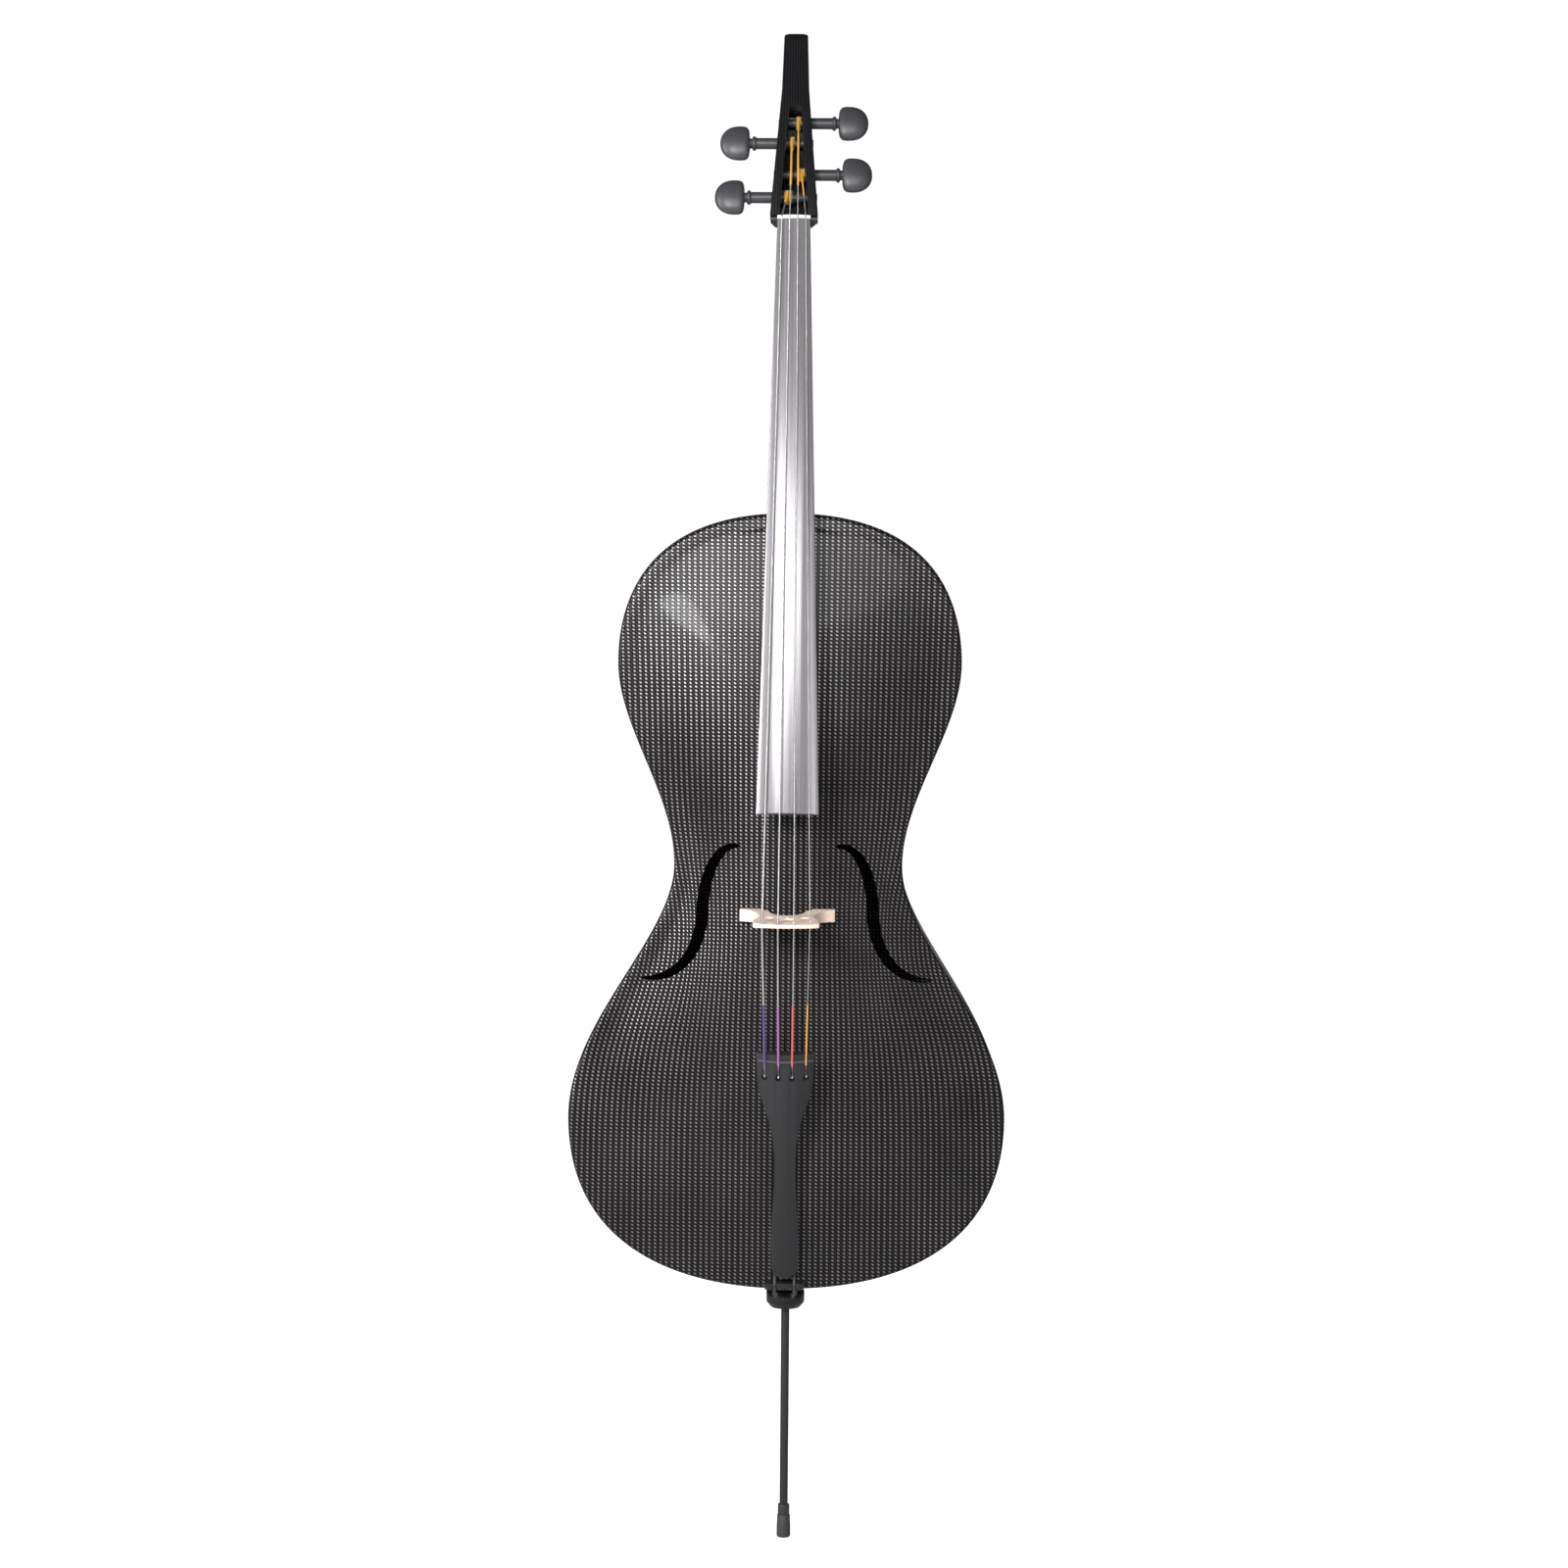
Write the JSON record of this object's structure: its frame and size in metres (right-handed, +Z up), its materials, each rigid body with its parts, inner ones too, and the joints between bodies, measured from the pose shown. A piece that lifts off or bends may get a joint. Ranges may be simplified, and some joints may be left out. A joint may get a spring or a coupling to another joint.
{
  "type": "cello",
  "caption": "Full-size cello with a smooth-waisted woven carbon body, plain tapered head, four pegs, bridge, tailpiece and sliding endpin.",
  "frame": {"origin": "middle of the flat underside of the rubber foot, on the endpin's axis", "axes": "+Z up the instrument along the endpin, strings and top plate face -Y, +X to the treble side (right, seen from the front)"},
  "size_m": [0.426, 0.2526, 1.4931],
  "materials": {
    "carbon_body": "gloss clear coat over woven carbon",
    "carbon_neck": "gloss carbon",
    "board": "satin black composite",
    "maple": "bare maple",
    "spruce": "bare spruce",
    "nut_white": "polished white",
    "black_trim": "satin black",
    "peg_black": "matt dark grey",
    "tail_black": "satin black composite",
    "fret_metal": "dull metal",
    "cord_black": "braided cord",
    "string_steel": "wound steel",
    "silk_yellow": "silk thread",
    "rod_carbon": "satin carbon tube",
    "ferrule_dark": "black metal",
    "brass": "turned brass",
    "rubber": "moulded rubber"
  },
  "bodies": {
    "instrument": {"back_shell": "carbon_body", "top_plate": "carbon_body", "rim_lining": "spruce", "neck_block": "spruce", "end_block": "spruce", "bass_bar": "spruce", "sound_post": "spruce", "neck": "carbon_neck", "pegbox": "carbon_neck", "fingerboard": "board", "nut": "nut_white", "bridge": "maple", "saddle": "black_trim", "tailpiece": "tail_black", "tail_fret": "fret_metal", "tail_cord": "cord_black", "c_string": "string_steel", "g_string": "string_steel", "d_string": "string_steel", "a_string": "string_steel", "endpin_bushing": "black_trim", "endpin_collet": "brass"},
    "c_peg_turning": {"c_peg": "peg_black", "c_winding": "silk_yellow"},
    "g_peg_turning": {"g_peg": "peg_black", "g_winding": "silk_yellow"},
    "d_peg_turning": {"d_peg": "peg_black", "d_winding": "silk_yellow"},
    "a_peg_turning": {"a_peg": "peg_black", "a_winding": "silk_yellow"},
    "lock_ring": {"endpin_collar": "black_trim"},
    "endpin": {"endpin_rod": "rod_carbon", "endpin_ferrule": "ferrule_dark"},
    "foot": {"rubber_foot": "rubber"}
  },
  "joints": [
    {"name": "c_peg_turn", "type": "hinge", "parent": "instrument", "child": "c_peg_turning", "pos_m": [0, -0.02082, 1.32621], "axis": [1, 0, 0], "continuous": true},
    {"name": "g_peg_turn", "type": "hinge", "parent": "instrument", "child": "g_peg_turning", "pos_m": [0, -0.00286, 1.38147], "axis": [1, 0, 0], "continuous": true},
    {"name": "d_peg_turn", "type": "hinge", "parent": "instrument", "child": "d_peg_turning", "pos_m": [0, 0.00391, 1.4023], "axis": [1, 0, 0], "continuous": true},
    {"name": "a_peg_turn", "type": "hinge", "parent": "instrument", "child": "a_peg_turning", "pos_m": [0, -0.01331, 1.34932], "axis": [1, 0, 0], "continuous": true},
    {"name": "lock_ring_turn", "type": "hinge", "parent": "instrument", "child": "lock_ring", "pos_m": [0, 0, 0.24], "axis": [0, 0, 1], "range_deg": [0, 120]},
    {"name": "endpin_slide", "type": "slide", "parent": "instrument", "child": "endpin", "axis": [0, 0, 1], "range_m": [-0.18, 0.19]},
    {"name": "foot_pull", "type": "slide", "parent": "endpin", "child": "foot", "axis": [0, 0, -1], "range_m": [0, 0.025]}
  ]
}
